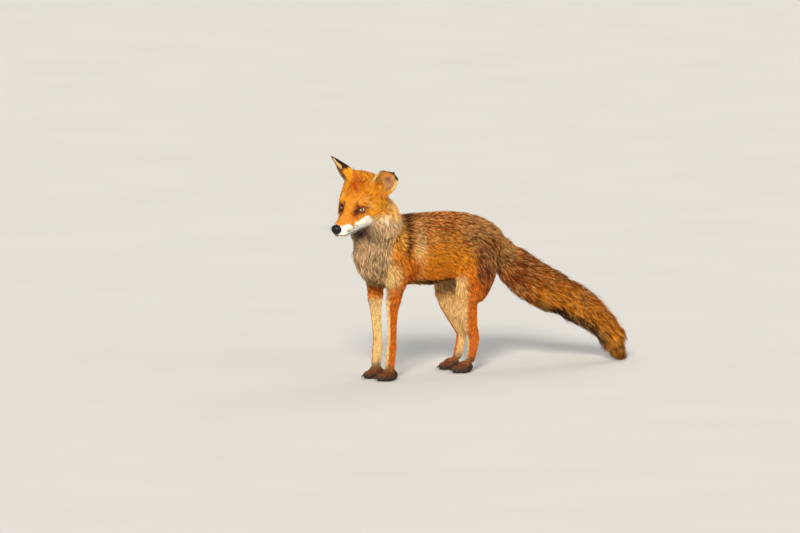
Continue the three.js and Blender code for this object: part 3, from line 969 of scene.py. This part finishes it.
skinTree = searchTree(co)
skinMesh.calc_loop_triangles()
skinTris = read(skinMesh.loop_triangles, "vertices", 3, np.int32)
first, second, third = co[skinTris].transpose(1, 0, 2)
triArea = np.linalg.norm(np.cross(second - first, third - first), axis=1) / 2


def scatter(weight, count):  # roots over the skin, denser where the weight is higher
    total = np.cumsum(triArea * weight[skinTris].mean(axis=1))
    picks = (np.arange(count) + rng.random(count)) / count * total[-1]
    chosen = np.searchsorted(total, picks).clip(0, len(total) - 1)
    u, v = rng.random(count), rng.random(count)
    over = u + v > 1
    u[over], v[over] = 1 - u[over], 1 - v[over]
    return skinTris[chosen], np.stack([1 - u - v, u, v], axis=1)


def follow(p, height, most):  # moves points to their height over the nearest skin
    rows = nearest(skinTree, p)
    at, n = co[rows], normals[rows]
    lift = height - dot(p - at, n)
    return p + n * np.clip(lift, -most, most)[:, None], n


def gather(root, middle, tip, length, eachClump):  # neighbours lean into clumps, which share their streak
    count = len(root)
    seeds = rng.choice(count, count // eachClump, replace=False)
    clump = nearest(searchTree(root[seeds]), root)
    own = seeds[clump]
    share = (length / np.maximum(length[own], 1e-6)).clip(0.6, 1.4)[:, None]
    pull = root[own] + (tip[own] - root[own]) * share - tip
    isNear = np.linalg.norm(root - root[own], axis=1) < tuft["clump"]
    pull *= (tuft["gather"] * isNear)[:, None]
    tip += pull
    middle += pull * 0.3
    tip[:, 2] = np.maximum(tip[:, 2], tuft["floor"] + rng.uniform(0, 2.5, count) * mm)
    middle[:, 2] = np.maximum(middle[:, 2], tuft["floor"] + rng.uniform(0.5, 3, count) * mm)
    return clump, len(seeds)


def tuftMesh(name, root, middle, tip, half, n, rings, u, v):
    control = 2 * middle - (root + tip) / 2
    root = root - n * tuft["sink"]
    points = []
    for s, wide in rings:
        centre = (1 - s) ** 2 * root + 2 * s * (1 - s) * control + s * s * tip
        along = unit((1 - s) * (control - root) + s * (tip - control))
        across = unit(np.cross(along, n))
        out = np.cross(across, along)
        for k in range(3):
            a = math.radians(90 + 120 * k)
            spoke = across * math.cos(a) + out * (math.sin(a) * tuft["flat"])
            points.append(centre + spoke * (half * wide)[:, None])
    verts = np.stack(points + [tip], axis=1)
    verts[:, :, 2] = np.maximum(verts[:, :, 2], tuft["lowest"])
    count, each = verts.shape[:2]

    last, steps = len(rings) - 1, [s for s, _ in rings]
    faces = [(0, 1, 2)]
    uvs = [(0, 0), (1, 0), (0.5, 0.3)]
    for ring in range(last):
        for k in range(3):
            a, b = ring * 3 + k, ring * 3 + (k + 1) % 3
            faces.append((a, a + 3, b + 3, b))
            uvs += [(0, steps[ring]), (0, steps[ring + 1]), (1, steps[ring + 1]), (1, steps[ring])]
    for k in range(3):
        faces.append((3 * last + k, each - 1, 3 * last + (k + 1) % 3))
        uvs += [(0, steps[last]), (0.5, 1), (1, steps[last])]
    loops = np.concatenate(faces)[None] + each * np.arange(count)[:, None]
    totals = np.tile([len(f) for f in faces], count)
    starts = np.concatenate([[0], np.cumsum(totals)[:-1]])
    mesh = bpy.data.meshes.new(name)
    mesh.vertices.add(count * each)
    mesh.vertices.foreach_set("co", verts.ravel())
    mesh.loops.add(loops.size)
    mesh.loops.foreach_set("vertex_index", loops.ravel().astype(np.int32))
    mesh.polygons.add(len(totals))
    mesh.polygons.foreach_set("loop_start", starts.astype(np.int32))
    mesh.polygons.foreach_set("use_smooth", np.ones(len(totals), bool))
    mesh.update(calc_edges=True)
    patches = 0.01 + 0.975 * np.stack([u, v], axis=1).clip(0, 1)
    uv = patches[:, None, :] + np.array(uvs)[None] * tuft["patch"]
    mesh.uv_layers.new(name="OFBake").data.foreach_set("uv", uv.astype(np.float32).ravel())
    setNumbers(mesh, "along", np.tile([s for s in steps for _ in range(3)] + [1.0], count))
    print(name, count, "tufts,", count * (6 * last + 4), "triangles")
    return mesh, each


# each tip is paler or darker than its middle, or much the same
tips = {
    "light": (1, 0.86, 0.68), "warmth": 0.7, "paleness": 0.75,
    "dark": (0.22, 0.16, 0.14), "onHead": (0.3, 0.1, 0),
}


def colourTufts(mesh, each, colour, seenAt, near, clump, clumps, draw):
    pale, dark, strong, warm = streaks(seenAt, near)
    colour = colour * rng.normal(1, 0.06, colour.shape).clip(0.85, 1.15)
    rootColour, base = colour[:, :3], colour[:, 3:]
    light = palette["cream"][3:] * np.array(tips["light"])
    light = light + (palette["gold"][3:] - light) * (tips["warmth"] * warm)[:, None]
    bright = base + (light - base) * tips["paleness"]
    deep = base * (np.array(tips["dark"]) + near["head"][:, None] * np.array(tips["onHead"]))
    tipColour = base * 1.05
    for chosen, goal in ((draw < pale, bright), (draw > 1 - dark, deep)):
        tipColour[chosen] += ((goal - base) * strong[:, None])[chosen]
    base = base * np.where(draw > 1 - dark, 1 - 0.45 * strong, 1)[:, None]
    for name, values in (("rootColour", rootColour), ("middleColour", base), ("tipColour", tipColour)):
        setColours(mesh, name, np.repeat(values, each, axis=0))
    tone = rng.uniform(0.8, 1.16, clumps)[clump] * rng.uniform(0.88, 1.1, len(draw))
    tone = np.where(rootColour.min(axis=1) > 0.4, np.maximum(tone, 1.04), tone)
    setNumbers(mesh, "tone", np.repeat(tone, each))


def makeCoat(name, weight, count, eachClump, unwrap, slot, shape):
    rings, lift = shapes[shape]
    ids, mix = scatter(weight, count)

    def mixed(field):
        return np.einsum("nk,nk...->n...", mix, field[ids])

    root, n, size = mixed(co), unit(mixed(normals)), mixed(sizes)
    near = {k: mixed(v) for k, v in fields.items()}
    depth, reach, wide = size[:, :3].T * mm
    sway = size[:, 3:]
    lie = mixed(way) + 1.3 * sway * np.stack([drift(root, 0.03, k) for k in (1.0, 5.0, 9.0)], axis=1)
    lie += rng.normal(0, 0.85, lie.shape) * sway
    lie = unit(lie - n * dot(lie, n)[:, None])
    seenAt = root + lie * (0.55 * reach)[:, None]
    colour = paint(seenAt, n, near)
    proud = (rng.random(count) < tuft["proud"]) & (depth > 5 * mm)
    length = reach * rng.uniform(0.75, 1.2, count) * np.where(proud, 1.15, 1)
    height = depth * rng.uniform(*lift, count) * np.where(proud, 1.3, 1)
    half = wide / 2 * rng.uniform(0.8, 1.25, count) * np.where(proud, 0.6, 1)
    middle = root + lie * (length * 0.5)[:, None] + n * (height * 0.6)[:, None]
    middle, n1 = follow(middle, height * 0.72, depth)
    onward = unit(middle - root)
    onward = unit(onward - n1 * dot(onward, n1)[:, None])
    tip, _ = follow(middle + onward * (length * 0.5)[:, None], height, depth)
    clump, clumps = gather(root, middle, tip, length, eachClump)
    isAlike = rng.random(count) < tuft["alike"]
    draw = np.where(isAlike, rng.random(clumps)[clump], rng.random(count))
    u, v = unwrap(root, near)
    mesh, each = tuftMesh(name, root, middle, tip, half, n, rings, u, v)
    colourTufts(mesh, each, colour, seenAt, near, clump, clumps, draw)
    dress(newObject(name, mesh), coatMaterials[slot], slot)


def around(p, centre, a, b):  # the angle round an axis, from 0 to 1, between two crosswise directions
    q = p - centre
    return np.arctan2(dot(q, a), dot(q, b)) / (2 * math.pi) + 0.5


def inRange(v, low, high):
    return (v - low) / (high - low)


xWay, yWay, zWay = np.eye(3)


def unwrapHead(p, near):
    h = toHead(p)
    return around(h, np.array([0, 0, -12]), xWay, zWay), inRange(h[:, 1], -100, 115)


def unwrapBody(p, near):
    centre = np.array([trunkMiddle, 0, 0.295])
    return around(p * [1, 0, 1], centre, xWay, zWay), inRange(p[:, 1], -0.33, 0.18)


def unwrapTail(p, near):
    low, high = middleOf("tail_root"), middleOf("tail_tip")
    axis = unit(high - low)
    side = unit(np.cross(axis, zWay))
    return around(p, low, side, np.cross(side, axis)), inRange(dot(p - low, axis), -0.12, 0.30)


def unwrapLegs(pair):
    def places(p, near):
        feet = np.array([middleOf(pair + side + "_lower_leg") for side in ("_left", "_right")])
        own = np.stack([np.linalg.norm((p - f)[:, :2], axis=1) for f in feet]).argmin(axis=0)
        turn = around(p, feet[own] * [1, 1, 0], xWay, yWay)
        return (own + turn) / 2, inRange(p[:, 2], 0, 0.34)
    return places


def unwrapEars(p, near):
    u, v = np.zeros((2, len(p)))
    for i, side in enumerate(ears):
        local = toEar(p, side)
        own = np.linalg.norm(local - [0, 0, 45], axis=1) < 75
        across = inRange(local[own, 0], -34, 34).clip(0, 0.98)
        u[own] = (i + 0.5 * (near["inEar"][own] > 0.5) + 0.5 * across) / 2
        v[own] = inRange(local[own, 2], -14, 92)
    return u, v


def isOf(*names):
    return np.isin(kinds, names).astype(float)


def isNear(place, reach):
    return np.linalg.norm(head - toHead(place), axis=1) < reach


# which share of each coat grows where, as weights on the skin's points; y parts neck, legs and brush
parting = {"neck": -0.215, "legs": -0.12, "brush": 0.30}
bald = {"nose": 12.4, "eye": eye["radius"] + 0.4}
left = co[:, 0] > trunkMiddle
bare = isNear(noseMiddle, bald["nose"]) | isNear(eyeLeft, bald["eye"]) | isNear(eyeRight, bald["eye"])
onHead = isOf("head", "lower_jaw")
face = onHead * ramp(head[:, 1], 30, 20) * ~bare * (1 + 1.2 * ramp(-head[:, 1], -10, 30))
crown = onHead * ramp(head[:, 1], 18, 28) * (1 + sum(earRoots.values()))
neck = isOf("neck") + isOf("trunk") * (co[:, 1] < parting["neck"])
trunk = isOf("trunk") * (co[:, 1] >= parting["neck"])
soles = isOf("paw") * ramp(-normals[:, 2], 0.5, 0.8)
legs = isOf("upper_leg", "lower_leg", "foot", "paw") * (1 - soles)
legs *= 1 + 1.2 * isOf("lower_leg") + 1.8 * isOf("foot", "paw")
fore = co[:, 1] < parting["legs"]
brush = isOf("tail_root", "tail_middle", "tail_tip")
onEnd = co[:, 1] >= parting["brush"]
ear = isOf("ear_left", "ear_right") * (1 - 0.5 * inEar)

coatMaterials = {
    "russet": coatMaterial("russet_fur", 0.7), "grizzled": coatMaterial("grizzled_fur", 0.72),
    "dark": coatMaterial("dark_fur", 0.55),
}
coats = [  # name, weight, tufts, tufts for each clump, unwrap, slot and shape
    ("face", face, 16000, 8, unwrapHead, "russet", "short"),
    ("crown", crown, 11500, 7, unwrapHead, "russet", "short"),
    ("neck", neck, 11000, 3, unwrapBody, "russet", "long"),
    ("trunk_left", trunk * left, 12200, 2, unwrapBody, "grizzled", "long"),
    ("trunk_right", trunk * ~left, 12200, 2, unwrapBody, "grizzled", "long"),
    ("front_legs", legs * fore, 14000, 3, unwrapLegs("front"), "russet", "short"),
    ("hind_legs", legs * ~fore, 14300, 3, unwrapLegs("hind"), "russet", "short"),
    ("brush_near", brush * ~onEnd, 9600, 3, unwrapTail, "russet", "long"),
    ("brush_end", brush * onEnd, 8400, 3, unwrapTail, "russet", "long"),
    ("ears", ear, 9000, 4, unwrapEars, "dark", "flat"),
]
for name, *rest in coats:
    makeCoat("coat_" + name, *rest)


def meshFrom(bm, name):
    bmesh.ops.recalc_face_normals(bm, faces=bm.faces)
    for f in bm.faces:
        f.smooth = True
    mesh = bpy.data.meshes.new(name)
    bm.to_mesh(mesh)
    bm.free()
    return newObject(name, mesh)


# the eyeballs, with a raised cornea
eyeball = {"radius": 9.1, "cornea": 0.5, "irisAt": 0.76, "pupilWide": 0.25, "pupilHigh": 0.31}


def eyeMaterial():
    s = Shader("eye_amber", Roughness=0.04, IOR=1.38, Coat_Weight=1.0, Coat_Roughness=0.02)
    place = s.attribute("eyePlace", "Vector")
    a, b = (s.node("SeparateXYZ", None, k, Vector=place) for k in range(2))
    ring = (a * a + b * b) ** 0.5
    slit = ((a / eyeball["pupilWide"]) ** 2 + (b / eyeball["pupilHigh"]) ** 2) ** 0.5
    spokes = s.node("CombineXYZ", None, X=a / (ring + 0.05), Y=b / (ring + 0.05), Z=ring * 0.35)
    tones = [(0, shaded(240, 204, 136)), (1, shaded(176, 112, 46))]  # pale by the pupil, brown outwards
    iris = s.node("ValToRGB", {"stops": tones}, Fac=ring * 1.25 + (s.noise(7, 5, spokes) - 0.5) * 0.9)
    atRim = s.between(ring, eyeball["irisAt"] - 0.12, eyeball["irisAt"])
    iris = s.mix(atRim, iris, shaded(34, 18, 12))
    return s.use(Base_Color=s.mix(s.between(slit, 1.12, 0.9), iris, shaded(6, 4, 4)))


bm = bmesh.new()
eyePlace = bm.verts.layers.float_vector.new("eyePlace")
for node, side in eyes.items():
    made = bmesh.ops.create_uvsphere(bm, u_segments=48, v_segments=32, radius=1)["verts"]
    centre, axes = toHead(middleOf(node)), eyeAxes(side)
    for v in made:
        v[eyePlace] = v.co
        bulge = eyeball["radius"] + eyeball["cornea"] * float(ramp(v.co.z, 0.70, 0.95))
        v.co = Vector(fromHead(centre + np.array(v.co) @ axes * bulge))
dress(meshFrom(bm, "eyeballs"), eyeMaterial(), "eye", *eyes)


def tubes(name, paths, closed=False):  # thin tapered tubes: each path is a list of (place in metres, radius)
    curve = bpy.data.curves.new(name, "CURVE")
    curve.dimensions, curve.bevel_depth, curve.bevel_resolution = "3D", 1.0, 2
    curve.use_fill_caps = True
    for path in paths:
        line = curve.splines.new("POLY")
        line.points.add(len(path) - 1)
        line.use_cyclic_u = closed
        for point, (place, radius) in zip(line.points, path):
            point.co, point.radius = (*place, 1), radius
    bm = bmesh.new()
    bm.from_mesh(evaluated(newObject(name + "_curve", curve)))
    bmesh.ops.remove_doubles(bm, verts=bm.verts, dist=1e-7)
    return meshFrom(bm, name)


def lidMaterial():
    s = Shader("lid_skin", Roughness=0.42)
    flecks = s.noise(1500, 3)
    colour = s.mix(flecks, shaded(14, 8, 7), shaded(40, 20, 14))
    return s.use(Base_Color=colour, Normal=s.bump(flecks, 0.4, 0.0003))


# the dark rims of the lids, along the edge of the almond, thickest above and at the inner corner
rim = {"points": 56, "over": 0.55, "thick": 0.5, "above": 0.6, "inner": 0.25}
rims = []
for node, side in eyes.items():
    centre, axes = toHead(middleOf(node)), eyeAxes(side)
    path = []
    for k in range(rim["points"]):
        t = k / rim["points"] * 2 * math.pi
        aside = math.radians(eye["halfWidth"]) * math.cos(t)
        high, low = lidAngles(aside, side)
        up = high if math.sin(t) > 0 else low
        direction = np.array([math.sin(aside) * math.cos(up), math.sin(up), math.cos(aside) * math.cos(up)])
        thick = rim["thick"] + rim["above"] * max(0, math.sin(t)) + rim["inner"] * max(0, -math.cos(t)) ** 4
        path.append((fromHead(centre + (direction * (eyeball["radius"] + rim["over"])) @ axes), thick * mm))
    rims.append(path)
dress(tubes("lid_rims", rims, closed=True), lidMaterial(), "dark")

# the nose leather: an egg with a pair of comma nostrils and a groove down its middle
noseShape = {
    "half": (12.5, 10.6, 12.2), "middle": (0, -88.3, -31.2), "pebbles": 620, "nostrils": 4.9,
    "nostrilDeep": 4.4, "slitDeep": 2.2, "grooveDeep": 1.1, "rimProud": 0.5,
}


def noseMaterial():
    s = Shader("nose_leather", Roughness=0.42, Specular_IOR_Level=0.3)
    place = s.node("TexCoord", None, "Object")
    cells = s.node("TexVoronoi", None, "Distance", Vector=place, Scale=noseShape["pebbles"])
    shade = s.mix(s.noise(300, 3, place), shaded(2, 2, 4), shaded(8, 8, 11))
    return s.use(Base_Color=shade, Normal=s.bump(cells, 0.45, 0.0006))


def bell(x, y):
    return math.exp(-(x ** 2 + y ** 2))


bm = bmesh.new()
bmesh.ops.create_icosphere(bm, subdivisions=6, radius=1)
for v in bm.verts:
    x, y, z = v.co
    taper = 1 - 0.22 * max(0.0, -z) - 0.05 * max(0.0, z)
    place = np.array([x * taper, y * (1 - 0.1 * abs(x)), z * (0.94 if z > 0 else 1)]) * noseShape["half"]
    aside, front = abs(place[0]), max(0.0, -y)
    beside = aside - noseShape["nostrils"]
    groove = bell(aside / 0.75, 0) * float(ramp(place[2], 3.5, -1.5)) * front
    nostril = bell(beside / 2.0, (place[2] + 0.4 - 0.25 * beside) / 1.7) * front
    slit = bell((aside - 7.6) / 2.6, (place[2] + 2.2) / 0.8) * float(ramp(y, 0.1, -0.4))
    rise = bell(beside / 3.6, (place[2] - 2.6) / 1.6) * front
    place[1] += noseShape["grooveDeep"] * groove + noseShape["nostrilDeep"] * nostril
    place[1] += noseShape["slitDeep"] * slit - noseShape["rimProud"] * rise
    place[0] -= math.copysign(slit, x)
    v.co = Vector(fromHead(place + np.array(noseShape["middle"])))
dress(meshFrom(bm, "nose_pad"), noseMaterial(), "nose", "nose")

# whiskers: rows on the muzzle, a few on the brow and cheek
whisker = {"rows": 4, "each": 5, "length": (32, 62), "thick": 0.17, "points": 7, "droop": (0, 0.16, -0.2)}
hairs = []
for side in (1, -1):
    starts = []
    for row in range(whisker["rows"]):
        for k in range(whisker["each"]):
            y, z = -82 + 8.5 * k + 2 * row, -29 - 4.2 * row
            starts.append(((y, z), (0.9, 0.35 + 0.16 * k, 0.12 - 0.17 * row), 1 - 0.1 * abs(k - 3)))
    starts += [((-12 - 5 * k, 9), (0.4, -0.1, 0.9), 0.55) for k in range(2)]
    starts += [((2, -22 - 5 * k), (0.9, 0.4, -0.2), 0.55) for k in range(2)]
    for (y, z), direction, share in starts:
        at = toHead(co[nearest(skinTree, [fromHead((side * 60, y, z))])[0]])
        d = unit(np.array(direction) * [side, 1, 1] + rng.normal(0, 0.07, 3))
        total = rng.uniform(*whisker["length"]) * share
        droop = np.array(whisker["droop"])
        path = []
        for s in np.linspace(0, 1, whisker["points"]):
            place = at + d * total * s + droop * total * s * s
            path.append((fromHead(place), whisker["thick"] * mm * (1 - 0.85 * s)))
        hairs.append(path)
s = Shader("whisker_hair", Roughness=0.4)
s.use(Base_Color=s.mix(s.noise(60, 1), shaded(16, 12, 11), shaded(52, 40, 34)))
dress(tubes("whiskers", hairs), s.material, "dark")

# the claws: the solids' own, rounded
clawNodes = [n for n in nodes if "claw" in n]
claws = meshFrom(joined(clawNodes), "claws")
subdivision = claws.modifiers.new("round", "SUBSURF")
subdivision.levels = subdivision.render_levels = 2
s = Shader("claw_horn", Roughness=0.38)
grain = s.noise(420, 4)
s.use(Base_Color=s.mix(grain, shaded(22, 17, 15), shaded(78, 64, 54)), Normal=s.bump(grain, 0.3, 0.0003))
dress(claws, s.material, "claw", *clawNodes)
print("eyes, nose, whiskers and claws made")

# floor, light and camera
bm = bmesh.new()
bmesh.ops.create_circle(bm, cap_ends=True, cap_tris=False, segments=96, radius=70)
floor = meshFrom(bm, "floor")
s = Shader("floor_pale", Roughness=0.85)
s.use(Base_Color=s.mix(s.noise(3, 4), shaded(206, 203, 197), shaded(213, 210, 205)))
floor.data.materials.append(s.material)

view = {"azimuth": 45, "elevation": 6, "distance": 30, "across": 1.88, "aside": -0.14572, "down": 0.0129}
az, el = math.radians(view["azimuth"]), math.radians(view["elevation"])
toRight = Vector((math.cos(az), math.sin(az), 0))
toViewer = Vector((math.sin(az) * math.cos(el), -math.cos(az) * math.cos(el), math.sin(el)))
upward = toViewer.cross(toRight)


def pointAlong(ob, direction):
    ob.rotation_mode = "QUATERNION"
    ob.rotation_quaternion = direction.to_track_quat("Z", "Y")


lights = {  # where each sun stands, its strength, its angle and its colour
    "key_light": (toViewer - toRight * 0.1 + Vector((0, 0, 0.36)), 4.2, 12, (1, 0.95, 0.85)),
    "fill_light": (toViewer + toRight * 1.2 + Vector((0, 0, 0.2)), 0.7, 50, (0.98, 0.98, 1)),
    "back_light": (toRight * 0.5 - toViewer + Vector((0, 0, 0.9)), 0.7, 40, (1, 0.98, 0.95)),
}
for name, (direction, energy, angle, colour) in lights.items():
    lamp = bpy.data.lights.new(name, "SUN")
    lamp.energy, lamp.angle, lamp.color = energy, math.radians(angle), colour
    pointAlong(newObject(name, lamp), direction)
world = bpy.data.worlds.new("studio")
scene.world = world
world.use_nodes = True
background = world.node_tree.nodes["Background"]
background.inputs["Color"].default_value = (0.92, 0.92, 0.93, 1)
background.inputs["Strength"].default_value = 0.5
scene.view_settings.view_transform = "Standard"

low, high = cadBox
aim = (low + high) / 2 + toRight * view["aside"] - upward * view["down"]
camera = bpy.data.cameras.new("camera")
camera.sensor_width = 36
camera.lens = camera.sensor_width * view["distance"] / view["across"]
camera.clip_start, camera.clip_end = 1, 200
cameraOb = newObject("camera", camera)
cameraOb.location = aim + toViewer * view["distance"]
pointAlong(cameraOb, toViewer)
scene.camera = cameraOb
print("floor, light and camera set")
